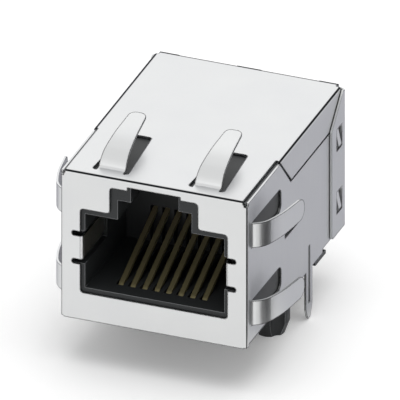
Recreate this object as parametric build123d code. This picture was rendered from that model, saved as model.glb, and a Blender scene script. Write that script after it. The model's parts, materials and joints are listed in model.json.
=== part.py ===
from build123d import *
import math
import os

# Shielded board jack for an eight-position modular plug, plug opening at the front.
# Frame: X across the jack, Y from the plug face to the rear, Z up from the board.
# The origin lies on the board, midway between the two locating posts.
# Lengths are millimetres. Depths named ..._depth are counted from the front face.

# How far a cut runs past the face that it opens, and how far joined pieces of one solid lap
cut_past = 1.00
lap = 0.10

# Folded shield
sheet = 0.16
shield_width = 15.90
shield_length = 21.30
shield_top = 13.35
front_panel_bottom = 0.05
front_corner_bottom = 0.12
bend_radius = 0.28
post_depth = 10.90
side_bottom = 0.38
side_rear_bottom = 0.72
side_step_depth = 16.70
side_corner_top = 12.85
seam_gap = 0.12
side_top_gap = 0.22
side_end_gap = 0.20
top_edge_inset = 0.38

# Upper side flaps of the top panel, and the flaps of the rear cover
flap_start_depth = 7.35
flap_knee_depth = 9.78
flap_bottom = 10.49
rear_flap_length = 3.10
rear_flap_gap = 0.05
rear_cover_bottom = 0.78
rear_cover_drop = 0.10
rear_flap_corner = 0.20
mitre_end_inset = 0.50

# Bridges that carry the rear cover at the top's back edge
outer_bridge_inner = 5.98
centre_bridge_width = 2.00

# Spring fingers that touch the panel cut-out around the jack
finger_root = 0.35
finger_bends = (0.30, 2.10, 11.00)
finger_tip_round = 0.42
slot_corner = 0.28
side_window_corner = 0.60
side_finger_width = 2.20
side_finger_tip_width = 1.90
side_window_width = 2.26
side_window_end_width = 2.04
side_window_depth = 0.78
side_window_length = 6.75
side_finger_root = 0.15
side_finger_levels = (2.87, 9.87)
top_finger_width = 2.30
top_finger_tip_width = 1.42
top_slot_width = 3.05
top_slot_tip_width = 2.20
top_slot_depth = 0.90
top_slot_length = 6.50
top_finger_root = 0.50
top_finger_offset = 4.08
finger_reach = 6.05
finger_knee_reach = 0.55
finger_knee_rise = 0.93
finger_crest_reach = 2.60
side_finger_crest_rise = 1.68
side_finger_rise = 2.20
top_finger_crest_rise = 1.66
top_finger_rise = 2.06

# Stepped plug window in the front panel
window_width = 12.52
window_bottom = 2.50
window_shoulder = 10.05
window_notch_width = 7.50
window_notch_top = 12.40
window_key_width = 4.50
window_key_top = 12.70
window_corner = 0.28

# Contact tabs folded in from the plug window
tab_height = 2.10
tab_level = 6.50
tab_length = 5.00
tab_inset = 0.20
tab_slot_height = 0.42
tab_slot_reach = 0.72
tab_bend_reach = 0.56
slit_end_round = 0.45

# Windows of the side panels, which the housing's wedges snap into
snap_window_start = 8.36
snap_window_length = 3.10
snap_window_bottom = 5.85
snap_window_height = 1.50
snap_gap = 0.12
snap_rise = 0.18

# Ground legs of the side panels
leg_depth = 13.72
leg_width = 1.40
leg_tip = -3.95
leg_taper_start = -2.95
leg_tip_width = 0.56
leg_tip_round = 0.20
leg_root = 1.00
groove_top = 2.55
groove_bottom = -2.55
groove_radius = 0.18
groove_sink = 0.12
groove_wall = 0.16
groove_end_gap = 0.10

# Catches that hold the rear cover's flaps
catch_levels = (3.60, 9.25)
catch_setback = 1.45
catch_window_width = 1.20
catch_window_height = 1.95
catch_width = 0.66
catch_height = 1.45
catch_lift = 0.28
catch_cut = 0.10

# Moulded housing
fit_gap = 0.05
cavity_width = 11.85
cavity_floor = 2.90
cavity_shoulder = 9.55
cavity_back_depth = 9.35
latch_width = 6.29
latch_lip_top = 11.30
latch_roof = 12.75
key_width = 4.07
latch_lip_depth = 1.30
back_wall = 1.00
floor_past_posts = 0.06
rear_side_wall = 0.80
rear_roof_wall = 0.80
rear_wall_clearance = 0.10
rear_skirt_bottom = 0.42
foot_start_depth = 15.10
foot_end_depth = 17.40
foot_width = 0.70
foot_gap = 0.06
tab_recess_margin = 0.12
tab_recess_height_margin = 0.42
tab_bend_room = 0.60

# Locating posts
post_spacing = 11.43
post_radius = 1.59
post_tip_radius = 1.20
post_taper_start = -2.98
post_tip = -4.08
post_flute_radius = 0.72
post_flute_offset = 1.78
post_flute_top = -0.35
post_root = 0.50

# Contacts
contact_count = 8
contact_pitch = 1.016
contact_width = 0.46
contact_sheet = 0.28
contact_run_level = 1.35
contact_bend_radius = 0.71
contact_front_depth = 1.85
contact_rise_angle = 22.0
contact_riser_bend = 1.50
contact_tip_depth = 9.85
contact_riser_inset = 0.50
contact_riser_row_gap = 0.85
contact_slot_clearance = 0.10
floor_slot_start_depth = 1.60
comb_slot_top = 6.15
comb_slot_sink = 0.70

# Contact carrier, pushed in under the cavity floor
carrier_width = 9.40
carrier_tongue_bottom = 0.80
carrier_tongue_top = 2.30
carrier_tongue_depth = 2.80
carrier_block_gap = 0.10
carrier_block_wall = 0.40
pocket_gap = 0.05
pocket_end_gap = 0.10

# Circuit board inside the rear half
board_level = 5.20
board_thickness = 1.00
board_overhang = 0.40
board_rear_gap = 0.40
board_width = 13.60
hole_clearance = 0.05
hole_sides = 8
solder_setback = 0.05

# Terminal base with the solder pins
base_front_gap = 0.10
base_width = 13.60
base_relief = 0.45
base_rail = 0.90
pin_radius = 0.25
pin_shank_width = 0.50
pin_tip = -3.90
pin_press_gap = 0.02
pin_pitch = 2.54
pin_row_setback = 0.81
pin_row_shift = 0.635
pins_per_row = 4

# Wound cores on the circuit board
core_edge_gap = 0.15
transformer_radius = 1.50
transformer_bore = 0.68
transformer_height = 2.30
transformer_turns = 9
choke_radius = 1.05
choke_bore = 0.50
choke_height = 1.60
choke_turns = 6
wire = 0.18

# Small parts on the circuit board
resistor_count = 4
resistor_pitch = 1.30
resistor_size = (1.00, 0.50, 0.35)
capacitor_size = (3.20, 1.60, 1.40)
end_cap_share = 0.18
end_cap_step = 0.03

half_width = shield_width / 2
front = -post_depth
rear = front + shield_length
inner_half = half_width - sheet - fit_gap
housing_front = front + sheet + fit_gap
housing_top = shield_top - sheet - fit_gap
housing_rear = rear - sheet - rear_wall_clearance
cavity_back = front + cavity_back_depth
rear_room = cavity_back + back_wall
floor_end = post_radius + floor_past_posts
carrier_block_front = floor_end + carrier_block_gap
first_riser = carrier_block_front + contact_riser_inset
contact_risers = (first_riser, first_riser + contact_riser_row_gap)
carrier_block_rear = contact_risers[1] + contact_sheet / 2 + carrier_block_wall
board_front = carrier_block_front - board_overhang
board_rear = housing_rear - board_rear_gap
board_top = board_level + board_thickness
wire_end = board_top - solder_setback
rear_pin_row = board_rear - pin_row_setback
pin_rows = (rear_pin_row - pin_pitch, rear_pin_row)


def block(x_range, y_range, z_range):
    """Axis-aligned block between the given limits."""
    (x0, x1), (y0, y1), (z0, z1) = x_range, y_range, z_range
    centre = Pos((x0 + x1) / 2, (y0 + y1) / 2, (z0 + z1) / 2)
    return centre * Box(x1 - x0, y1 - y0, z1 - z0)


def outline(points, corner=0.0):
    """Flat face with straight sides and, if asked, rounded corners."""
    face = make_face(Polyline(*points, close=True))
    if corner > 0:
        face = fillet(face.vertices(), corner)
    return face


def across(face, x0, x1):
    """Face drawn in Y and Z, carried across from x0 to x1."""
    return extrude(Plane.YZ.offset(x0) * face, x1 - x0)


def along(face, y0, y1):
    """Face drawn in X and Z, carried to the rear from y0 to y1."""
    return extrude(Plane.XZ.offset(-y1) * face, y1 - y0)


def upward(face, z0, z1):
    """Face drawn in X and Y, carried up from z0 to z1."""
    return extrude(Pos(0, 0, z0) * face, z1 - z0)


def folded(points, radii, thickness, side):
    """Edge-on face of a bent strip: a filleted path with sheet on one side."""
    path = FilletPolyline(*points, radius=radii)
    return make_face(offset(path, amount=thickness, side=side).edges())


def both_sides(solid):
    """The solid and its mirror image across the jack's middle."""
    return solid + mirror(solid, about=Plane.YZ)


def stepped_window(half_widths, levels, corner=0.0):
    """Plug opening seen from the front: a wide mouth under one or two narrower steps."""
    right = []
    for half, low, high in zip(half_widths, levels[:-1], levels[1:]):
        right += [(half, low), (half, high)]
    left = [(-x, z) for x, z in reversed(right)]
    face = outline(right + left)
    if corner > 0:
        wide = [v for v in face.vertices() if abs(v.X) > half_widths[-1] + corner]
        face = fillet(wide, corner)
    return face


def finger_path(crest_rise, tip_rise):
    """Side view of a spring finger, from its root out to the tip."""
    return [
        (-finger_root, 0),
        (0, 0),
        (finger_knee_reach, finger_knee_rise),
        (finger_crest_reach, crest_rise),
        (finger_reach, tip_rise),
    ]


def finger(width, tip_width, root, crest_rise, tip_rise):
    """Spring finger along +Y, rising towards +Z, with its rise starting at the origin."""
    profile = folded(finger_path(crest_rise, tip_rise), list(finger_bends), sheet, Side.RIGHT)
    strip = across(profile, -width / 2, width / 2)
    plan = outline(
        [
            (-width / 2, -finger_root),
            (width / 2, -finger_root),
            (width / 2, 0),
            (tip_width / 2, finger_reach),
            (-tip_width / 2, finger_reach),
            (-width / 2, 0),
        ]
    )
    ends = plan.vertices().sort_by(Axis.Y)[-2:]
    plan = fillet(ends, tip_width * finger_tip_round)
    strip &= upward(plan, -cut_past, tip_rise + cut_past)
    flat_root = block((-width / 2, width / 2), (-root, -finger_root + lap), (-sheet, 0))
    if root > finger_root:
        strip += flat_root
    return strip


def shield_side():
    """Right side panel with its ground leg, spring fingers and catches."""
    start = front + bend_radius
    step = front + side_step_depth
    end = rear - sheet - side_end_gap
    flap_low = flap_bottom - seam_gap
    knee = front + flap_knee_depth - seam_gap
    top_stop = front + flap_start_depth - seam_gap
    side_top = shield_top - side_top_gap
    panel = across(
        outline(
            [
                (start, side_bottom),
                (step, side_bottom),
                (step, side_rear_bottom),
                (end, side_rear_bottom),
                (end, flap_low),
                (knee, flap_low),
                (top_stop, side_top),
                (start, side_top),
            ]
        ),
        half_width - sheet,
        half_width,
    )

    leg = front + leg_depth
    leg_face = outline(
        [
            (leg - leg_width / 2, side_bottom + leg_root),
            (leg - leg_width / 2, leg_taper_start),
            (leg - leg_tip_width / 2, leg_tip),
            (leg + leg_tip_width / 2, leg_tip),
            (leg + leg_width / 2, leg_taper_start),
            (leg + leg_width / 2, side_bottom + leg_root),
        ]
    )
    tips = leg_face.vertices().sort_by(Axis.Y)[:2]
    leg_face = fillet(tips, leg_tip_round)
    panel += across(leg_face, half_width - sheet, half_width)

    groove_axis = half_width + groove_radius - groove_sink
    groove = Pos(groove_axis, leg, groove_bottom) * Cylinder(
        groove_radius, groove_top - groove_bottom, align=(Align.CENTER, Align.CENTER, Align.MIN)
    )
    swell = Pos(groove_axis, leg, groove_bottom) * Cylinder(
        groove_radius + groove_wall,
        groove_top - groove_bottom,
        align=(Align.CENTER, Align.CENTER, Align.MIN),
    )
    swell &= block(
        (half_width - cut_past, half_width - sheet / 2),
        (leg - cut_past, leg + cut_past),
        (groove_bottom, groove_top),
    )
    panel = panel + swell - groove

    finger_profile = finger(
        side_finger_width, side_finger_tip_width, finger_root, side_finger_crest_rise, side_finger_rise
    )
    finger_side = Rot(0, 90, 0) * finger_profile
    for level in side_finger_levels:
        near_half = side_window_width / 2
        far_half = side_window_end_width / 2
        window = outline(
            [
                (front + side_window_depth, level - near_half),
                (front + side_window_depth + side_window_length, level - far_half),
                (front + side_window_depth + side_window_length, level + far_half),
                (front + side_window_depth, level + near_half),
            ],
            side_window_corner,
        )
        panel -= across(window, half_width - cut_past, half_width + cut_past)
        panel += Pos(half_width, front + side_window_depth + side_finger_root, level) * finger_side

    snap_start = front + snap_window_start
    panel -= block(
        (half_width - cut_past, half_width + cut_past),
        (snap_start, snap_start + snap_window_length),
        (snap_window_bottom, snap_window_bottom + snap_window_height),
    )

    middle = rear - catch_setback
    for level in catch_levels:
        panel -= block(
            (half_width - cut_past, half_width + cut_past),
            (middle - catch_width / 2 - catch_cut, middle + catch_width / 2 + catch_cut),
            (level - catch_height / 2 - catch_cut, level + catch_height / 2 - catch_cut),
        )
        tongue = outline(
            [
                (half_width - sheet, level + catch_height / 2),
                (half_width, level + catch_height / 2),
                (half_width + catch_lift, level - catch_height / 2),
                (half_width + catch_lift - sheet, level - catch_height / 2),
            ]
        )
        panel += along(tongue, middle - catch_width / 2, middle + catch_width / 2)
    return panel


def shield_front():
    """Front panel with its two side bends, the plug window and the folded-in tabs."""
    corner = half_width - bend_radius
    wrap = folded(
        [
            (-half_width, front + bend_radius + lap),
            (-half_width, front),
            (half_width, front),
            (half_width, front + bend_radius + lap),
        ],
        bend_radius,
        sheet,
        Side.LEFT,
    )
    panel = upward(wrap, front_corner_bottom, side_corner_top)
    panel += block(
        (-corner, corner),
        (front, front + sheet),
        (front_panel_bottom, shield_top - bend_radius),
    )
    halves = [window_width / 2, window_notch_width / 2, window_key_width / 2]
    levels = [window_bottom, window_shoulder, window_notch_top, window_key_top]
    plug_window = stepped_window(halves, levels, window_corner)
    panel -= along(plug_window, front - cut_past, front + cut_past)
    for level in (tab_level - tab_height / 2, tab_level + tab_height / 2):
        for sign in (-1, 1):
            inner = sign * (window_width / 2 - lap)
            outer = sign * (window_width / 2 + tab_slot_reach)
            centre = level + math.copysign(tab_slot_height / 2, level - tab_level)
            slit = outline(
                [
                    (inner, centre - tab_slot_height / 2),
                    (outer, centre - tab_slot_height / 2),
                    (outer, centre + tab_slot_height / 2),
                    (inner, centre + tab_slot_height / 2),
                ]
            )
            ends = [v for v in slit.vertices() if abs(v.X) > window_width / 2]
            slit = fillet(ends, tab_slot_height * slit_end_round)
            panel -= along(slit, front - cut_past, front + cut_past)
    tab_face = window_width / 2 - tab_inset
    tab = folded(
        [
            (window_width / 2 + tab_bend_reach, front),
            (tab_face, front),
            (tab_face, front + tab_length),
        ],
        bend_radius,
        sheet,
        Side.RIGHT,
    )
    tab = upward(tab, tab_level - tab_height / 2, tab_level + tab_height / 2)
    return panel + both_sides(tab)


def shield_top_and_rear():
    """Top panel, its side flaps and fingers, and the rear cover with its wrapped flaps."""
    inset = half_width - top_edge_inset
    under = shield_top - sheet
    under_bend = shield_top - bend_radius
    cover_top = under_bend - rear_cover_drop
    top = folded(
        [(front, under_bend - lap), (front, shield_top), (rear - bend_radius, shield_top)],
        bend_radius,
        sheet,
        Side.RIGHT,
    )
    panel = across(top, -inset, inset)

    mitre_run = rear_flap_length - mitre_end_inset
    flap_outline = outline(
        [
            (front + flap_start_depth, shield_top + cut_past),
            (front + flap_start_depth, under),
            (front + flap_knee_depth, flap_bottom),
            (rear - rear_flap_length - seam_gap, flap_bottom),
            (rear - mitre_end_inset - seam_gap, flap_bottom + mitre_run),
            (rear - mitre_end_inset - seam_gap, shield_top + cut_past),
        ]
    )
    flap = folded(
        [(inset - lap, shield_top), (half_width, shield_top), (half_width, flap_bottom - cut_past)],
        bend_radius,
        sheet,
        Side.RIGHT,
    )
    flap = along(flap, front + flap_start_depth, rear - mitre_end_inset)
    flap &= across(flap_outline, 0, half_width + cut_past)
    panel += both_sides(flap)

    bridge = folded(
        [(rear - bend_radius - lap, shield_top), (rear, shield_top), (rear, cover_top - lap)],
        bend_radius,
        sheet,
        Side.RIGHT,
    )
    panel += across(bridge, -centre_bridge_width / 2, centre_bridge_width / 2)
    panel += both_sides(across(bridge, outer_bridge_inner, inset))

    flap_face = half_width + rear_flap_gap + sheet
    wrap = folded(
        [
            (-flap_face, rear - bend_radius - lap),
            (-flap_face, rear),
            (flap_face, rear),
            (flap_face, rear - bend_radius - lap),
        ],
        bend_radius,
        sheet,
        Side.RIGHT,
    )
    panel += upward(wrap, rear_cover_bottom, cover_top)
    rear_flap = outline(
        [
            (rear - rear_flap_length, rear_cover_bottom + rear_flap_corner),
            (rear - rear_flap_length + rear_flap_corner, rear_cover_bottom),
            (rear - bend_radius, rear_cover_bottom),
            (rear - bend_radius, cover_top),
            (rear - mitre_end_inset, flap_bottom + mitre_run),
            (rear - rear_flap_length, flap_bottom),
        ]
    )
    rear_flap = across(rear_flap, flap_face - sheet, flap_face)
    for level in catch_levels:
        middle = rear - catch_setback
        rear_flap -= block(
            (half_width - cut_past, half_width + cut_past),
            (middle - catch_window_width / 2, middle + catch_window_width / 2),
            (level - catch_window_height / 2, level + catch_window_height / 2),
        )
    panel += both_sides(rear_flap)

    spring = finger(
        top_finger_width, top_finger_tip_width, top_finger_root, top_finger_crest_rise, top_finger_rise
    )
    slot_start = front + top_slot_depth
    slot = outline(
        [
            (-top_slot_width / 2, slot_start),
            (top_slot_width / 2, slot_start),
            (top_slot_tip_width / 2, slot_start + top_slot_length),
            (-top_slot_tip_width / 2, slot_start + top_slot_length),
        ],
        slot_corner,
    )
    for side in (-1, 1):
        place = side * top_finger_offset
        panel -= Pos(place, 0, 0) * upward(slot, under - cut_past, shield_top + cut_past)
        panel += Pos(place, slot_start + top_finger_root, shield_top) * spring
    return panel


def make_shield():
    """The whole shield, folded from one sheet."""
    return shield_front() + both_sides(shield_side()) + shield_top_and_rear()


def make_post():
    """Cross-ribbed locating post under the housing, at the middle of the jack."""
    profile = Polyline(
        (0, post_root),
        (post_radius, post_root),
        (post_radius, post_taper_start),
        (post_tip_radius, post_tip),
        (0, post_tip),
        close=True,
    )
    post = revolve(Plane.XZ * make_face(profile), Axis.Z)
    reach = post_flute_offset * math.sqrt(0.5)
    length = post_flute_top - post_tip + cut_past
    for x in (-reach, reach):
        for y in (-reach, reach):
            flute = Cylinder(post_flute_radius, length, align=(Align.CENTER, Align.CENTER, Align.MAX))
            post -= Pos(x, y, post_flute_top) * flute
    return post


def contact_x():
    """Places of the contacts across the jack, from left to right."""
    return [(i - (contact_count - 1) / 2) * contact_pitch for i in range(contact_count)]


def make_housing():
    """Moulded housing: plug cavity in front, an open-backed room for the circuit behind."""
    body = block((-inner_half, inner_half), (housing_front, housing_rear), (0, housing_top))
    room_half = inner_half - rear_side_wall
    room_top = housing_top - rear_roof_wall
    past_rear = housing_rear + cut_past
    body -= block((-room_half, room_half), (rear_room, past_rear), (cavity_floor, room_top))
    body -= block((-room_half, room_half), (floor_end, past_rear), (-cut_past, room_top))
    body -= block(
        (-half_width, half_width), (floor_end, past_rear), (-cut_past, rear_skirt_bottom)
    )
    foot = block(
        (inner_half - foot_width, inner_half),
        (front + foot_start_depth, front + foot_end_depth),
        (0, rear_skirt_bottom + lap),
    )
    foot += block(
        (inner_half - foot_width, half_width),
        (front + foot_start_depth, front + foot_end_depth),
        (0, side_bottom - foot_gap),
    )
    body += both_sides(foot)

    snap_start = front + snap_window_start + snap_gap
    snap_low = snap_window_bottom + snap_gap
    wedge = outline(
        [
            (inner_half - lap, snap_start),
            (inner_half + fit_gap, snap_start),
            (inner_half + snap_rise, snap_start + snap_window_length - 2 * snap_gap),
            (inner_half - lap, snap_start + snap_window_length - 2 * snap_gap),
        ]
    )
    wedge = upward(wedge, snap_low, snap_window_bottom + snap_window_height - snap_gap)
    body += both_sides(wedge)

    lip_back = front + latch_lip_depth
    mouth = stepped_window(
        [cavity_width / 2, latch_width / 2, key_width / 2],
        [cavity_floor, cavity_shoulder, latch_lip_top, latch_roof],
    )
    body -= along(mouth, front - cut_past, lip_back)
    cavity = stepped_window(
        [cavity_width / 2, latch_width / 2], [cavity_floor, cavity_shoulder, latch_roof]
    )
    body -= along(cavity, lip_back, cavity_back)

    tab_outer = window_width / 2 - tab_inset + sheet + tab_recess_margin
    recess_half = tab_height / 2 + tab_recess_height_margin
    recess = block(
        (cavity_width / 2 - cut_past, tab_outer),
        (front - cut_past, front + tab_length + tab_recess_margin),
        (tab_level - recess_half, tab_level + recess_half),
    )
    bend_room = block(
        (cavity_width / 2 - cut_past, window_width / 2 + tab_slot_reach),
        (front - cut_past, housing_front + tab_bend_room),
        (tab_level - recess_half, tab_level + recess_half),
    )
    body -= both_sides(recess + bend_room)

    pocket_half = carrier_width / 2 + pocket_gap
    body -= block(
        (-pocket_half, pocket_half),
        (front + carrier_tongue_depth - pocket_end_gap, floor_end + cut_past),
        (carrier_tongue_bottom - pocket_gap, carrier_tongue_top + pocket_gap),
    )
    slot_half = contact_width / 2 + contact_slot_clearance
    slot_low = contact_run_level - contact_sheet / 2 - contact_slot_clearance
    for x in contact_x():
        body -= block(
            (x - slot_half, x + slot_half),
            (front + floor_slot_start_depth, cavity_back + comb_slot_sink),
            (slot_low, cavity_floor),
        )
        body -= block(
            (x - slot_half, x + slot_half),
            (cavity_back, cavity_back + comb_slot_sink),
            (slot_low, comb_slot_top),
        )

    groove_room = half_width + groove_radius - groove_sink
    relief = Pos(groove_room, front + leg_depth, -cut_past) * Cylinder(
        groove_radius + sheet + fit_gap,
        groove_top + cut_past + groove_end_gap,
        align=(Align.CENTER, Align.CENTER, Align.MIN),
    )
    body -= both_sides(relief)
    for side in (-1, 1):
        body += Pos(side * post_spacing / 2, 0, 0) * make_post()
    return body


def make_contact(x, riser_y):
    """One spring contact: riser, run under the floor, front bend and slanted beam."""
    under = contact_run_level - contact_sheet / 2
    radius = contact_bend_radius + contact_sheet / 2
    angle = math.radians(contact_rise_angle)
    centre = (front + contact_front_depth + contact_bend_radius, under + radius)
    tangent = (centre[0] - radius * math.sin(angle), centre[1] + radius * math.cos(angle))
    tip_y = front + contact_tip_depth
    tip = (tip_y, tangent[1] + (tip_y - tangent[0]) * math.tan(angle))
    outside = riser_y + contact_sheet / 2
    riser = FilletPolyline(
        (outside, wire_end),
        (outside, under),
        (centre[0], under),
        radius=contact_sheet * contact_riser_bend,
    )
    bend = CenterArc(centre, radius, 90 + contact_rise_angle, 180 - contact_rise_angle)
    path = Wire(riser.edges() + [bend, Line(tangent, tip)])
    face = make_face(offset(path, amount=contact_sheet, side=Side.RIGHT).edges())
    return across(face, x - contact_width / 2, x + contact_width / 2)


def make_carrier():
    """Contact carrier: a tongue under the cavity floor and a block behind the cavity."""
    half = carrier_width / 2
    tongue = block(
        (-half, half),
        (front + carrier_tongue_depth, carrier_block_front),
        (carrier_tongue_bottom, carrier_tongue_top),
    )
    body = tongue + block(
        (-half, half), (carrier_block_front, carrier_block_rear), (0, board_level)
    )
    slot = contact_width / 2 + hole_clearance
    run_top = contact_run_level + contact_sheet / 2 + hole_clearance
    riser_half = contact_sheet / 2 + hole_clearance
    for i, x in enumerate(contact_x()):
        riser_y = contact_risers[i % 2]
        body -= block(
            (x - slot, x + slot),
            (front + carrier_tongue_depth - cut_past, riser_y + riser_half),
            (carrier_tongue_bottom, run_top),
        )
        body -= block(
            (x - slot, x + slot),
            (riser_y - riser_half - contact_sheet, riser_y + riser_half),
            (carrier_tongue_bottom, board_level),
        )
    return body


def pin_places():
    """Places of the solder pins: two rows, each shifted to its own side."""
    places = []
    for row, y in enumerate(pin_rows):
        shift = -pin_row_shift if row == 0 else pin_row_shift
        for i in range(pins_per_row):
            places.append(((i - (pins_per_row - 1) / 2) * pin_pitch + shift, y))
    return places


def make_pin(x, y):
    """Solder pin: round below the terminal base, with a square shank pressed through it."""
    end = Pos(x, y, pin_tip) * Cylinder(
        pin_radius, base_relief - pin_tip, align=(Align.CENTER, Align.CENTER, Align.MIN)
    )
    half = pin_shank_width / 2
    return end + block((x - half, x + half), (y - half, y + half), (base_relief, wire_end))


def make_board():
    """Circuit board, drilled for the contacts and the solder pins."""
    body = block(
        (-board_width / 2, board_width / 2),
        (board_front, board_rear),
        (board_level, board_top),
    )
    contact_hole = math.hypot(contact_width, contact_sheet) / 2 + hole_clearance
    holes = [(x, contact_risers[i % 2], contact_hole) for i, x in enumerate(contact_x())]
    pin_hole = math.hypot(pin_shank_width, pin_shank_width) / 2 + hole_clearance
    holes += [(x, y, pin_hole) for x, y in pin_places()]
    for x, y, radius in holes:
        drilled = RegularPolygon(radius, hole_sides, major_radius=False)
        body -= Pos(x, y, board_level) * extrude(drilled, board_thickness)
    return body


def make_base():
    """Terminal base on two rails, which carries the solder pins and the circuit board."""
    half = base_width / 2
    base_front = carrier_block_rear + base_front_gap
    body = block((-half, half), (base_front, board_rear), (0, board_level))
    body -= block(
        (-half + base_rail, half - base_rail),
        (base_front - cut_past, board_rear + cut_past),
        (-cut_past, base_relief),
    )
    grip = pin_shank_width / 2 + pin_press_gap
    for x, y in pin_places():
        body -= block((x - grip, x + grip), (y - grip, y + grip), (0, board_level))
    return body


def make_core(radius, bore, height):
    """Ferrite ring lying on its windings."""
    ring = Cylinder(radius, height) - Cylinder(bore, height)
    return Pos(0, 0, board_top + wire + height / 2) * ring


def make_winding(radius, bore, height, turns):
    """Turns of wire around a ring core, one closed loop each."""
    turn = block((bore - wire, radius + wire), (-wire / 2, wire / 2), (-wire, height + wire))
    turn -= block((bore, radius), (-wire, wire), (0, height))
    loops = Part() + [Rot(0, 0, i * 360 / turns) * turn for i in range(turns)]
    return Pos(0, 0, board_top + wire) * loops


def core_x(radius):
    """How far a wound core lies from the jack's middle, beside the board's edge."""
    return board_width / 2 - core_edge_gap - wire - radius


def make_chip(size, x, y, turn):
    """Chip part with two end caps a little proud of its body, turned about its middle."""
    length, depth, height = size
    inner = depth / 2 - end_cap_step
    body = block((-length / 2, length / 2), (-inner, inner), (end_cap_step, height - end_cap_step))
    cap = block((length * (0.5 - end_cap_share), length / 2), (-depth / 2, depth / 2), (0, height))
    return Pos(x, y, board_top) * Rot(0, 0, turn) * (body + both_sides(cap))


parts = {"shield": make_shield(), "housing": make_housing(), "contact_carrier": make_carrier()}
for i, x in enumerate(contact_x()):
    parts[f"contact_{i + 1}"] = make_contact(x, contact_risers[i % 2])
parts["circuit_board"] = make_board()
parts["terminal_base"] = make_base()
for i, (x, y) in enumerate(pin_places()):
    parts[f"solder_pin_{i + 1}"] = make_pin(x, y)

transformer = (transformer_radius, transformer_bore, transformer_height)
choke = (choke_radius, choke_bore, choke_height)
for i, side in enumerate((-1, 1)):
    from_edge = core_edge_gap + wire + transformer_radius
    place = Pos(side * core_x(transformer_radius), board_rear - from_edge, 0)
    parts[f"transformer_core_{i + 1}"] = place * make_core(*transformer)
    parts[f"transformer_winding_{i + 1}"] = place * make_winding(*transformer, transformer_turns)
    from_edge = core_edge_gap + wire + choke_radius
    place = Pos(side * core_x(choke_radius), board_front + from_edge, 0)
    parts[f"choke_core_{i + 1}"] = place * make_core(*choke)
    parts[f"choke_winding_{i + 1}"] = place * make_winding(*choke, choke_turns)
resistor_y = (contact_risers[1] + pin_rows[0]) / 2
for i in range(resistor_count):
    x = (i - (resistor_count - 1) / 2) * resistor_pitch
    parts[f"resistor_{i + 1}"] = make_chip(resistor_size, x, resistor_y, 90)
parts["capacitor"] = make_chip(capacitor_size, 0, sum(pin_rows) / 2, 0)

os.makedirs("parts", exist_ok=True)
for name, solid in parts.items():
    export_step(solid, f"parts/{name}.step")
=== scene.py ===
import bpy
import json
import math
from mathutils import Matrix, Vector


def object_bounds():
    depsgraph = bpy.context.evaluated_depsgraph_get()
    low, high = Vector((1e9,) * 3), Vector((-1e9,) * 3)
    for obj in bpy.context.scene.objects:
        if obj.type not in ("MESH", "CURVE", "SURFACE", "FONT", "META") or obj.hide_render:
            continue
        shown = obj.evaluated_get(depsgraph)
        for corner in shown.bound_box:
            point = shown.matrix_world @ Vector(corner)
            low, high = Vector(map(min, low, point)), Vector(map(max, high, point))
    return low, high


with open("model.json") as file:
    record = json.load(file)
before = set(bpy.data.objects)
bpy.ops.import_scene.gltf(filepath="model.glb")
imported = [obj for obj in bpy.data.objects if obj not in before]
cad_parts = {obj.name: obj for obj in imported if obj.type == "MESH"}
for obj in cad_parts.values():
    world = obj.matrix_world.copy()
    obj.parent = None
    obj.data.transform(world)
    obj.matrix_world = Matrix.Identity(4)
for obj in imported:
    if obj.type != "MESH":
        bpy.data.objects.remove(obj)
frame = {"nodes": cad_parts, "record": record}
cad_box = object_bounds()

MM = 0.001

# The photograph is a parallel projection: how far it is turned and raised, its width on the
# object, and the point of the object's frame that lies at the picture's middle
VIEW_AZIMUTH = math.radians(21.04)
VIEW_ELEVATION = math.radians(28.4)
PICTURE_WIDTH = 31.77 * MM
MIDDLE_RIGHT = -0.243 * MM
MIDDLE_UP = 5.753 * MM

# How far off the camera stands, and the nearest and the furthest that it sees
CAMERA_DISTANCE = 250 * MM
CAMERA_NEAR = 10 * MM
CAMERA_FAR = 2000 * MM

# A painted edge line, of shade or of highlight, is drawn where the shading of a rounded edge would turn
# away from the face. It starts at the first of these cosines and is full at one of the others: the nearer
# to 1, the wider the line
LINE_START = 0.995
THIN_LINE = 0.90
DARK_LINE = 0.95
UPPER_SHADE_LINE = 0.975

# Places that are sampled around a point to round its edge, enough for a line without grain
EDGE_SAMPLES = 6

# How far from its edge a painted line reaches on stamped sheet, on a moulding and on a contact
SHEET_REACH = 0.15 * MM
MOULD_REACH = 0.08 * MM
CONTACT_REACH = 0.09 * MM

# How much of a face's normal points up where its painted upper edge shade begins, and where it is full
UPPER_SHADE_FACING = (0.5, 0.8)

# How much of a sheared edge's normal points up, or to the front, where the painted shade line is left off
# it
SHEARED_TURN = 0.6

# Edges of the side panels and their fingers lie further out than this and lower than this, in mm
SIDE_SHEET = 7.78
SIDE_SHEET_TOP = 13.14

# The flaps of the rear cover lie behind this, in mm
REAR_FLAPS = 6.5

# Painted shade lines along the folds, in mm: where a line's middle lies on two axes, and its half width
FOLDS = (
    (("depth", -10.82), ("height", 13.27), 0.09),
    (("side", 7.87), ("depth", -10.82), 0.045),
    (("side", 7.87), ("height", 13.27), 0.09),
    (("left", 7.77), ("height", 13.34), 0.12),
    (("depth", 10.17), ("height", 13.34), 0.15),
    (("side", 8.08), ("depth", 10.32), 0.09),
)

# Painted shade line in the pressed groove of the ground legs, in mm: its axis, its half width, and how far
# it runs up and down
GROOVE = (("side", 8.01), ("depth", 2.82), 0.20)
GROOVE_HALF_LENGTH = 2.55

# Part of its half width over which a painted shade line fades, to either side
LINE_FADE = 0.25

# The moulded edges get a painted highlight in front of this depth, further out than this and below this, in
# mm
HIGHLIGHT_DEPTH = -10.2
HIGHLIGHT_SIDE = 6.0
HIGHLIGHT_HEIGHT = 0.5

# Heights in mm between which a contact's gold grows thicker towards its mating end
MATING_ZONE = (4.0, 7.5)

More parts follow.
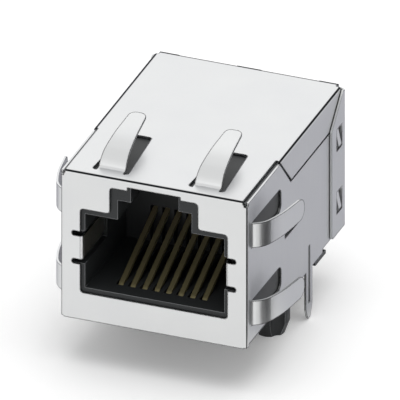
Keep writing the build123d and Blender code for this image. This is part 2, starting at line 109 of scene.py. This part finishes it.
# Sizes of the patterns in the finishes, in mm: along the three axes, or one size all ways. A pixel of
# the picture is 0.08 mm wide, so what is really finer is drawn coarser here, or it wouldn't show.
# Rolling lines of the shield's strip, really about 0.03 mm wide
ROLLING_LINES = (0.167, 0.167, 4.0)
# Slow drift in the tone of the tin, at its real size
TIN_CLOUDS = 4.55
# Spark-eroded grain of the mould, really about 0.03 mm
MOULD_GRAIN = 0.111
# Rolling lines of the contacts' strip, really about 0.02 mm wide
CONTACT_LINES = (0.05, 1.67, 1.67)
# Drawing streaks of the pins' wire, really about 0.03 mm wide
WIRE_STREAKS = (0.111, 0.111, 1.25)
# Distance between the threads of the board's glass cloth, at its real size
GLASS_THREADS = 0.5
# Orange peel of the epoxy on the ring cores, at its real size
EPOXY_PEEL = 0.333
# Stretches of thick and thin enamel on the wire, at their real size
ENAMEL_RUNS = 0.667
# Powder grains of the fired chips, really about 0.01 mm
CHIP_SPECKLE = 0.0714

# How far the wave texture's bands turn over one unit at scale 1, in radians
WAVE_TURN = 20

# Values between which nearly all of a noise texture lies, as inputs of a map range
NOISE_SPREAD = {"From_Min": 0.3, "From_Max": 0.7}

# A mix of colours: input 0 is the share, inputs 6 and 7 are the colours, and output 2 is the result
COLOURS = {"data_type": "RGBA"}

# What a maths node does with its inputs 0 and 1. Near: 1 where they lie within input 2 of each other
TIMES = {"operation": "MULTIPLY"}
LESS = {"operation": "SUBTRACT", "use_clamp": True}
LARGER = {"operation": "MAXIMUM"}
ABOVE = {"operation": "GREATER_THAN"}
BELOW = {"operation": "LESS_THAN"}
NEAR = {"operation": "COMPARE"}

# The floor lies at the jack's lowest point and runs this far to every side
FLOOR_LEVEL = cad_box[0].z
FLOOR_REACH = 4000 * MM

# White added to the floor where the camera or a glossy surface sees it
FLOOR_LIFT = 0.19

# Grey card that stands at the right of the jack: how far out, from where to where along it, and how high
FLAG_OUT = 16 * MM
FLAG_DEPTHS = (-14 * MM, -5.5 * MM)
FLAG_TOP = 12 * MM

# Pale cards that lie on the floor: from how far out to how far out, and from where to where along it
TABLE_OUT = (8.5 * MM, 80 * MM)
TABLE_DEPTHS = (-1 * MM, 90 * MM)

# How far above the floor the cards begin
CARD_LIFT = 0.2 * MM

# Point that all lamps are aimed at, and the strength of the white world that lights the jack
LAMP_TARGET = (0, 0, 5 * MM)
WORLD_STRENGTH = 0.50


def linear(hex_colour):
    """An sRGB hex colour as linear values, opaque."""
    values = [int(hex_colour[i : i + 2], 16) / 255 for i in (1, 3, 5)]
    return [v / 12.92 if v <= 0.04045 else ((v + 0.055) / 1.055) ** 2.4 for v in values] + [1.0]


def add(tree, kind, settings=None, **inputs):
    """Adds a node, sets its properties, and fills its inputs with values or with other sockets.

    An input is given by its name, with underscores for spaces, or by its number, such as _0.
    """
    node = tree.nodes.new(kind)
    for name, value in (settings or {}).items():
        setattr(node, name, value)
    for name, value in inputs.items():
        socket = node.inputs[int(name[1:]) if name[0] == "_" else name.replace("_", " ")]
        if isinstance(value, bpy.types.NodeSocket):
            tree.links.new(value, socket)
        else:
            socket.default_value = value
    return node


def new_material(name):
    """An empty node material and its tree of nodes."""
    material = bpy.data.materials.new(name)
    material.use_nodes = True
    material.node_tree.nodes.clear()
    return material, material.node_tree


def object_mm(tree):
    """The object's own coordinates, in millimetres."""
    place = add(tree, "ShaderNodeTexCoord").outputs["Object"]
    return add(tree, "ShaderNodeMapping", Vector=place, Scale=(1 / MM, 1 / MM, 1 / MM)).outputs[0]


def sharp_edges(tree, reach, full=THIN_LINE):
    """1 at a stamped or moulded edge, falling to 0 at the given reach from it; reach in metres."""
    rounded = add(tree, "ShaderNodeBevel", {"samples": EDGE_SAMPLES}, Radius=reach).outputs[0]
    facing = add(tree, "ShaderNodeNewGeometry").outputs["Normal"]
    turned = add(tree, "ShaderNodeVectorMath", {"operation": "DOT_PRODUCT"}, _0=rounded, _1=facing)
    return add(
        tree,
        "ShaderNodeMapRange",
        Value=turned.outputs["Value"],
        From_Min=LINE_START,
        From_Max=full,
    ).outputs[0]


def upper_edge_shade(tree):
    """1 in a wider painted shade line along the edges of faces that look up."""
    facing = add(tree, "ShaderNodeNewGeometry").outputs["Normal"]
    height = add(tree, "ShaderNodeSeparateXYZ", Vector=facing).outputs["Z"]
    up = add(tree, "ShaderNodeMapRange", Value=height, From_Min=UPPER_SHADE_FACING[0], From_Max=UPPER_SHADE_FACING[1]).outputs[0]
    line = sharp_edges(tree, SHEET_REACH, UPPER_SHADE_LINE)
    return add(tree, "ShaderNodeMath", TIMES, _0=line, _1=up).outputs[0]


def axis_values(tree, place):
    """How far a place lies to either side, to the left, to the rear and up, in mm."""
    axes = add(tree, "ShaderNodeSeparateXYZ", Vector=place).outputs
    side = add(tree, "ShaderNodeMath", {"operation": "ABSOLUTE"}, _0=axes["X"]).outputs[0]
    left = add(tree, "ShaderNodeMath", TIMES, _0=axes["X"], _1=-1.0).outputs[0]
    return {"side": side, "left": left, "depth": axes["Y"], "height": axes["Z"]}


def shade_line(tree, axes, line):
    """1 along one straight painted shade line of a fold or groove of the sheet, fading to 0 around its half
    width.
    """
    (one, one_at), (other, other_at), half = line
    seen = add(tree, "ShaderNodeCombineXYZ", X=axes[one], Y=axes[other]).outputs[0]
    middle = (one_at, other_at, 0)
    away = add(tree, "ShaderNodeVectorMath", {"operation": "DISTANCE"}, _0=seen, _1=middle)
    return add(
        tree,
        "ShaderNodeMapRange",
        Value=away.outputs["Value"],
        From_Min=half * (1 - LINE_FADE),
        From_Max=half * (1 + LINE_FADE),
        To_Min=1.0,
        To_Max=0.0,
    ).outputs[0]


def groove_shade(tree, axes):
    """1 in the grooves of the ground legs, where a dark line of shade is painted."""
    along = add(tree, "ShaderNodeMath", NEAR, _0=axes["height"], _1=0.0, _2=GROOVE_HALF_LENGTH)
    line = shade_line(tree, axes, GROOVE)
    return add(tree, "ShaderNodeMath", TIMES, _0=line, _1=along.outputs[0]).outputs[0]


def unshaded_edges(tree, axes):
    """1 on the sides' edges that look up, and the rear flaps' front edges, where the painted shade lines
    are left off.
    """
    facing = add(tree, "ShaderNodeNewGeometry").outputs["Normal"]
    turned = add(tree, "ShaderNodeSeparateXYZ", Vector=facing).outputs
    up = add(tree, "ShaderNodeMath", ABOVE, _0=turned["Z"], _1=SHEARED_TURN).outputs[0]
    ahead = add(tree, "ShaderNodeMath", BELOW, _0=turned["Y"], _1=-SHEARED_TURN).outputs[0]
    behind = add(tree, "ShaderNodeMath", ABOVE, _0=axes["depth"], _1=REAR_FLAPS).outputs[0]
    out = add(tree, "ShaderNodeMath", ABOVE, _0=axes["side"], _1=SIDE_SHEET).outputs[0]
    low = add(tree, "ShaderNodeMath", BELOW, _0=axes["height"], _1=SIDE_SHEET_TOP).outputs[0]
    flap = add(tree, "ShaderNodeMath", TIMES, _0=ahead, _1=behind).outputs[0]
    either = add(tree, "ShaderNodeMath", LARGER, _0=up, _1=flap).outputs[0]
    sheet = add(tree, "ShaderNodeMath", TIMES, _0=out, _1=low).outputs[0]
    return add(tree, "ShaderNodeMath", TIMES, _0=either, _1=sheet).outputs[0]


def painted_shade_places(tree, place):
    """1 where shade is painted on the plating: along the edges, the upper edges, folds and grooves, but not
    on the unshaded edges.
    """
    axes = axis_values(tree, place)
    lines = [shade_line(tree, axes, fold) for fold in FOLDS]
    lines += [groove_shade(tree, axes), upper_edge_shade(tree)]
    darkest_shade = sharp_edges(tree, SHEET_REACH, DARK_LINE)
    for line in lines:
        darkest_shade = add(tree, "ShaderNodeMath", LARGER, _0=darkest_shade, _1=line).outputs[0]
    return add(tree, "ShaderNodeMath", LESS, _0=darkest_shade, _1=unshaded_edges(tree, axes)).outputs[0]


def tin_plated_sheet():
    """Matt tin over nickel on rolled sheet: pale, satin, darker where the eye grazes it, with painted shade
    lines along its edges, folds and leg grooves.
    """
    material, tree = new_material("tin_plated_sheet")
    place = object_mm(tree)
    rolled = add(tree, "ShaderNodeMapping", Vector=place, Scale=[1 / size for size in ROLLING_LINES])
    lines = add(tree, "ShaderNodeTexNoise", Vector=rolled.outputs[0], Scale=1.0, Detail=3.0)
    cloud = add(tree, "ShaderNodeTexNoise", Vector=place, Scale=1 / TIN_CLOUDS, Detail=2.0).outputs["Fac"]
    tint = add(tree, "ShaderNodeMix", COLOURS, _0=cloud, _6=linear("#D2D3D4"), _7=linear("#D9DAD9"))
    # Painted shade: dark lines along the edges, folds and leg grooves, in place of their shading
    painted_shade_share = painted_shade_places(tree, place)
    with_painted_lines = add(tree, "ShaderNodeMix", COLOURS, _0=painted_shade_share, _6=tint.outputs[2], _7=linear("#1C1D1F"))
    line = lines.outputs["Fac"]
    rough = add(tree, "ShaderNodeMapRange", Value=line, To_Min=0.30, To_Max=0.36, **NOISE_SPREAD)
    bump = add(tree, "ShaderNodeBump", Height=line, Strength=0.05, Distance=0.02 * MM)
    shader = add(
        tree,
        "ShaderNodeBsdfPrincipled",
        Base_Color=with_painted_lines.outputs[2],
        Metallic=1.0,
        Roughness=rough.outputs[0],
        Specular_Tint=linear("#C8C8CC"),
        Normal=bump.outputs[0],
    )
    add(tree, "ShaderNodeOutputMaterial", Surface=shader.outputs[0])
    return material


def painted_edge_highlight(tree, place):
    """1 along the moulded edges that get a painted highlight: at the mouth and outside, not in the cavity.
    """
    axes = axis_values(tree, place)
    mouth = add(tree, "ShaderNodeMath", BELOW, _0=axes["depth"], _1=HIGHLIGHT_DEPTH).outputs[0]
    out = add(tree, "ShaderNodeMath", ABOVE, _0=axes["side"], _1=HIGHLIGHT_SIDE).outputs[0]
    low = add(tree, "ShaderNodeMath", BELOW, _0=axes["height"], _1=HIGHLIGHT_HEIGHT).outputs[0]
    highlit = add(tree, "ShaderNodeMath", LARGER, _0=mouth, _1=out).outputs[0]
    highlit = add(tree, "ShaderNodeMath", LARGER, _0=highlit, _1=low).outputs[0]
    line = sharp_edges(tree, MOULD_REACH)
    return add(tree, "ShaderNodeMath", TIMES, _0=line, _1=highlit).outputs[0]


def black_polyester():
    """Injection-moulded glass-filled polyester: near black, finely grained, dull gloss."""
    material, tree = new_material("black_polyester")
    place = object_mm(tree)
    grain = add(tree, "ShaderNodeTexNoise", Vector=place, Scale=1 / MOULD_GRAIN, Detail=4.0).outputs["Fac"]
    tint = add(tree, "ShaderNodeMix", COLOURS, _0=grain, _6=linear("#232526"), _7=linear("#2D2F30"))
    # Painted highlight: the moulded edges at the mouth and outside are lightened, in place of their sheen
    highlit = painted_edge_highlight(tree, place)
    with_painted_lines = add(tree, "ShaderNodeMix", COLOURS, _0=highlit, _6=tint.outputs[2], _7=linear("#8A8C8E"))
    bump = add(tree, "ShaderNodeBump", Height=grain, Strength=0.15, Distance=0.03 * MM)
    shader = add(
        tree,
        "ShaderNodeBsdfPrincipled",
        Base_Color=with_painted_lines.outputs[2],
        Roughness=0.48,
        IOR=1.42,
        Normal=bump.outputs[0],
    )
    add(tree, "ShaderNodeOutputMaterial", Surface=shader.outputs[0])
    return material


def gold_flashed_bronze():
    """Phosphor bronze strip, flashed with gold and then stamped: satin, with a dark line of painted shade
    along its edges.
    """
    material, tree = new_material("gold_flashed_bronze")
    place = object_mm(tree)
    rolled = add(tree, "ShaderNodeMapping", Vector=place, Scale=[1 / size for size in CONTACT_LINES])
    lines = add(tree, "ShaderNodeTexNoise", Vector=rolled.outputs[0], Scale=1.0, Detail=2.0)
    line = lines.outputs["Fac"]
    tint = add(tree, "ShaderNodeMix", COLOURS, _0=line, _6=linear("#7D7556"), _7=linear("#8F8766"))
    height = axis_values(tree, place)["height"]
    thin, thick = MATING_ZONE
    mating = add(tree, "ShaderNodeMapRange", Value=height, From_Min=thin, From_Max=thick).outputs[0]
    gold = add(tree, "ShaderNodeMix", COLOURS, _0=mating, _6=tint.outputs[2], _7=linear("#C6B995"))
    # Painted shade: a dark line along the contact's edges, in place of the shading of their rounding
    edge_shade = sharp_edges(tree, CONTACT_REACH)
    with_painted_lines = add(tree, "ShaderNodeMix", COLOURS, _0=edge_shade, _6=gold.outputs[2], _7=linear("#2C281B"))
    shader = add(
        tree,
        "ShaderNodeBsdfPrincipled",
        Base_Color=with_painted_lines.outputs[2],
        Metallic=1.0,
        Roughness=0.62,
    )
    add(tree, "ShaderNodeOutputMaterial", Surface=shader.outputs[0])
    return material


def tinned_wire():
    """Copper wire drawn and dipped in tin: bright satin, with faint streaks along the wire."""
    material, tree = new_material("tinned_wire")
    place = object_mm(tree)
    drawn = add(tree, "ShaderNodeMapping", Vector=place, Scale=[1 / size for size in WIRE_STREAKS])
    streaks = add(tree, "ShaderNodeTexNoise", Vector=drawn.outputs[0], Scale=1.0, Detail=3.0)
    streak = streaks.outputs["Fac"]
    tint = add(tree, "ShaderNodeMix", COLOURS, _0=streak, _6=linear("#C4C5C7"), _7=linear("#DEDEDF"))
    rough = add(tree, "ShaderNodeMapRange", Value=streak, To_Min=0.28, To_Max=0.40, **NOISE_SPREAD)
    shader = add(
        tree,
        "ShaderNodeBsdfPrincipled",
        Base_Color=tint.outputs[2],
        Metallic=1.0,
        Roughness=rough.outputs[0],
    )
    add(tree, "ShaderNodeOutputMaterial", Surface=shader.outputs[0])
    return material


def green_solder_mask():
    """Solder mask cured over woven glass: the weave shows as a faint grid through the green."""
    material, tree = new_material("green_solder_mask")
    place = object_mm(tree)
    scale = math.tau / (WAVE_TURN * GLASS_THREADS)
    warp = add(tree, "ShaderNodeTexWave", {"bands_direction": "X"}, Vector=place, Scale=scale)
    weft = add(tree, "ShaderNodeTexWave", {"bands_direction": "Z"}, Vector=place, Scale=scale)
    weave = add(tree, "ShaderNodeMath", TIMES, _0=warp.outputs["Fac"], _1=weft.outputs["Fac"]).outputs[0]
    tint = add(tree, "ShaderNodeMix", COLOURS, _0=weave, _6=linear("#0E4527"), _7=linear("#146038"))
    bump = add(tree, "ShaderNodeBump", Height=weave, Strength=0.1, Distance=0.02 * MM)
    shader = add(
        tree,
        "ShaderNodeBsdfPrincipled",
        Base_Color=tint.outputs[2],
        Roughness=0.35,
        Normal=bump.outputs[0],
    )
    add(tree, "ShaderNodeOutputMaterial", Surface=shader.outputs[0])
    return material


def coated_ferrite():
    """Pressed ferrite ring under a baked epoxy coat: dark, half glossy, slightly orange-peeled."""
    material, tree = new_material("coated_ferrite")
    place = object_mm(tree)
    peel = add(tree, "ShaderNodeTexNoise", Vector=place, Scale=1 / EPOXY_PEEL, Detail=2.0).outputs["Fac"]
    tint = add(tree, "ShaderNodeMix", COLOURS, _0=peel, _6=linear("#29282A"), _7=linear("#3A3A3D"))
    bump = add(tree, "ShaderNodeBump", Height=peel, Strength=0.2, Distance=0.04 * MM)
    shader = add(
        tree,
        "ShaderNodeBsdfPrincipled",
        Base_Color=tint.outputs[2],
        Roughness=0.42,
        Normal=bump.outputs[0],
    )
    add(tree, "ShaderNodeOutputMaterial", Surface=shader.outputs[0])
    return material


def enamelled_copper():
    """Drawn copper wire under baked amber enamel: red-brown, darker where the enamel ran thick."""
    material, tree = new_material("enamelled_copper")
    place = object_mm(tree)
    run = add(tree, "ShaderNodeTexNoise", Vector=place, Scale=1 / ENAMEL_RUNS, Detail=2.0).outputs["Fac"]
    tint = add(tree, "ShaderNodeMix", COLOURS, _0=run, _6=linear("#8E3E1C"), _7=linear("#BE6634"))
    rough = add(tree, "ShaderNodeMapRange", Value=run, To_Min=0.22, To_Max=0.34, **NOISE_SPREAD)
    shader = add(
        tree,
        "ShaderNodeBsdfPrincipled",
        Base_Color=tint.outputs[2],
        Metallic=1.0,
        Roughness=rough.outputs[0],
    )
    add(tree, "ShaderNodeOutputMaterial", Surface=shader.outputs[0])
    return material


def fired_ceramic():
    """Fired ceramic chip: dull tan with a fine speckle from the powder."""
    material, tree = new_material("fired_ceramic")
    place = object_mm(tree)
    grain = add(tree, "ShaderNodeTexNoise", Vector=place, Scale=1 / CHIP_SPECKLE, Detail=4.0).outputs["Fac"]
    tint = add(tree, "ShaderNodeMix", COLOURS, _0=grain, _6=linear("#554A3E"), _7=linear("#706354"))
    bump = add(tree, "ShaderNodeBump", Height=grain, Strength=0.1, Distance=0.01 * MM)
    shader = add(
        tree,
        "ShaderNodeBsdfPrincipled",
        Base_Color=tint.outputs[2],
        Roughness=0.55,
        Normal=bump.outputs[0],
    )
    add(tree, "ShaderNodeOutputMaterial", Surface=shader.outputs[0])
    return material


def finish_pieces():
    """Gives each piece of the jack the finish of its material slot."""
    finishes = {
        "plated_shield": tin_plated_sheet(),
        "black_moulding": black_polyester(),
        "spring_contact": gold_flashed_bronze(),
        "solder_pin": tinned_wire(),
        "board_laminate": green_solder_mask(),
        "ferrite": coated_ferrite(),
        "enamelled_wire": enamelled_copper(),
        "chip_part": fired_ceramic(),
    }
    for part in frame["record"]["subparts"]:
        slots = frame["nodes"][part["node"]].data.materials
        slots.clear()
        slots.append(finishes[part["material_slot"]])


def shown_rays(tree):
    """1 for rays that come from the camera, from a glossy surface or through a clear one."""
    path = add(tree, "ShaderNodeLightPath").outputs
    shown = path["Is Camera Ray"]
    for other in ("Is Glossy Ray", "Is Transmission Ray"):
        shown = add(tree, "ShaderNodeMath", LARGER, _0=shown, _1=path[other]).outputs[0]
    return shown


def flat_sheet(name, corners, material):
    """One four-cornered sheet of the studio, which isn't part of the jack."""
    mesh = bpy.data.meshes.new(name)
    mesh.from_pydata(corners, [], [(0, 1, 2, 3)])
    mesh.materials.append(material)
    sheet = bpy.data.objects.new(name, mesh)
    bpy.context.scene.collection.objects.link(sheet)
    return sheet


def level_corners(near, far, front, rear, level):
    """Corners of a level rectangle, between two places across and two places along."""
    return [(near, front, level), (far, front, level), (far, rear, level), (near, rear, level)]


def make_floor():
    """Pale studio floor that shows white but keeps the jack's shadow."""
    material, tree = new_material("white_floor")
    paint = add(tree, "ShaderNodeBsdfDiffuse", Color=linear("#F4F4F4"))
    lift = add(tree, "ShaderNodeMath", TIMES, _0=shown_rays(tree), _1=FLOOR_LIFT)
    glow = add(tree, "ShaderNodeEmission", Color=linear("#FFFFFF"), Strength=lift.outputs[0])
    shader = add(tree, "ShaderNodeAddShader", _0=paint.outputs[0], _1=glow.outputs[0])
    add(tree, "ShaderNodeOutputMaterial", Surface=shader.outputs[0])
    corners = level_corners(-FLOOR_REACH, FLOOR_REACH, -FLOOR_REACH, FLOOR_REACH, FLOOR_LEVEL)
    flat_sheet("floor", corners, material)


def card(name, corners, colour):
    """Studio card that only the jack's metal sees."""
    material, tree = new_material(name)
    paint = add(tree, "ShaderNodeBsdfDiffuse", Color=linear(colour))
    add(tree, "ShaderNodeOutputMaterial", Surface=paint.outputs[0])
    sheet = flat_sheet(name, corners, material)
    sheet.visible_camera = sheet.visible_diffuse = sheet.visible_shadow = False


def make_cards():
    """A standing card draws the right fingers' curve; lying ones keep the side panels a tone darker."""
    level = FLOOR_LEVEL + CARD_LIFT
    x, top = FLAG_OUT, FLAG_TOP
    front, rear = FLAG_DEPTHS
    card("grey_flag", [(x, front, level), (x, rear, level), (x, rear, top), (x, front, top)], "#5E5E60")
    for side in (-1, 1):
        near, far = (side * out for out in TABLE_OUT)
        card("pale_card", level_corners(near, far, *TABLE_DEPTHS, level), "#E2E2E7")


def lamp(name, place, size, power, mirrored=True):
    """Square soft box, in metres and watts. The jack's metal can be kept from mirroring it."""
    data = bpy.data.lights.new(name, "AREA")
    data.size = size
    data.energy = power
    light = bpy.data.objects.new(name, data)
    light.visible_glossy = mirrored
    light.location = place
    light.rotation_mode = "QUATERNION"
    light.rotation_quaternion = (Vector(LAMP_TARGET) - Vector(place)).to_track_quat("-Z", "Y")
    bpy.context.scene.collection.objects.link(light)


def make_world():
    """Even white all round, which shows at full white but lights the jack less."""
    world = bpy.data.worlds.new("studio")
    world.use_nodes = True
    tree = world.node_tree
    tree.nodes.clear()
    soft = add(tree, "ShaderNodeBackground", Color=linear("#FFFFFF"), Strength=WORLD_STRENGTH).outputs[0]
    seen = add(tree, "ShaderNodeBackground", Color=linear("#FFFFFF"), Strength=1.0).outputs[0]
    mixed = add(tree, "ShaderNodeMixShader", _0=shown_rays(tree), _1=soft, _2=seen)
    add(tree, "ShaderNodeOutputWorld", Surface=mixed.outputs[0])
    bpy.context.scene.world = world


def make_camera():
    """Parallel camera at the photograph's angle and framing."""
    across, along = math.cos(VIEW_AZIMUTH), math.sin(VIEW_AZIMUTH)
    level, rise = math.cos(VIEW_ELEVATION), math.sin(VIEW_ELEVATION)
    right = Vector((across, along, 0))
    back = Vector((along * level, -across * level, rise))
    up = back.cross(right)
    data = bpy.data.cameras.new("camera")
    data.type = "ORTHO"
    data.ortho_scale = PICTURE_WIDTH
    data.clip_start = CAMERA_NEAR
    data.clip_end = CAMERA_FAR
    camera = bpy.data.objects.new("camera", data)
    camera.rotation_mode = "QUATERNION"
    camera.rotation_quaternion = (-back).to_track_quat("-Z", "Y")
    camera.location = right * MIDDLE_RIGHT + up * MIDDLE_UP + back * CAMERA_DISTANCE
    bpy.context.scene.collection.objects.link(camera)
    bpy.context.scene.camera = camera


finish_pieces()
make_floor()
make_cards()
make_world()

# The overhead lamp lights the plastic and the floor, the backdrop lamp is what the top panel mirrors
# towards the camera, and the front lamp reaches into the plug opening
lamp("overhead", place=(0.05, -0.03, 0.45), size=0.40, power=1.15, mirrored=False)
lamp("backdrop", place=(-0.16, 0.41, 0.24), size=0.50, power=0.29)
lamp("front", place=(-0.08, -0.42, 0.16), size=0.30, power=0.10)
make_camera()

bpy.context.scene.view_settings.view_transform = "Standard"
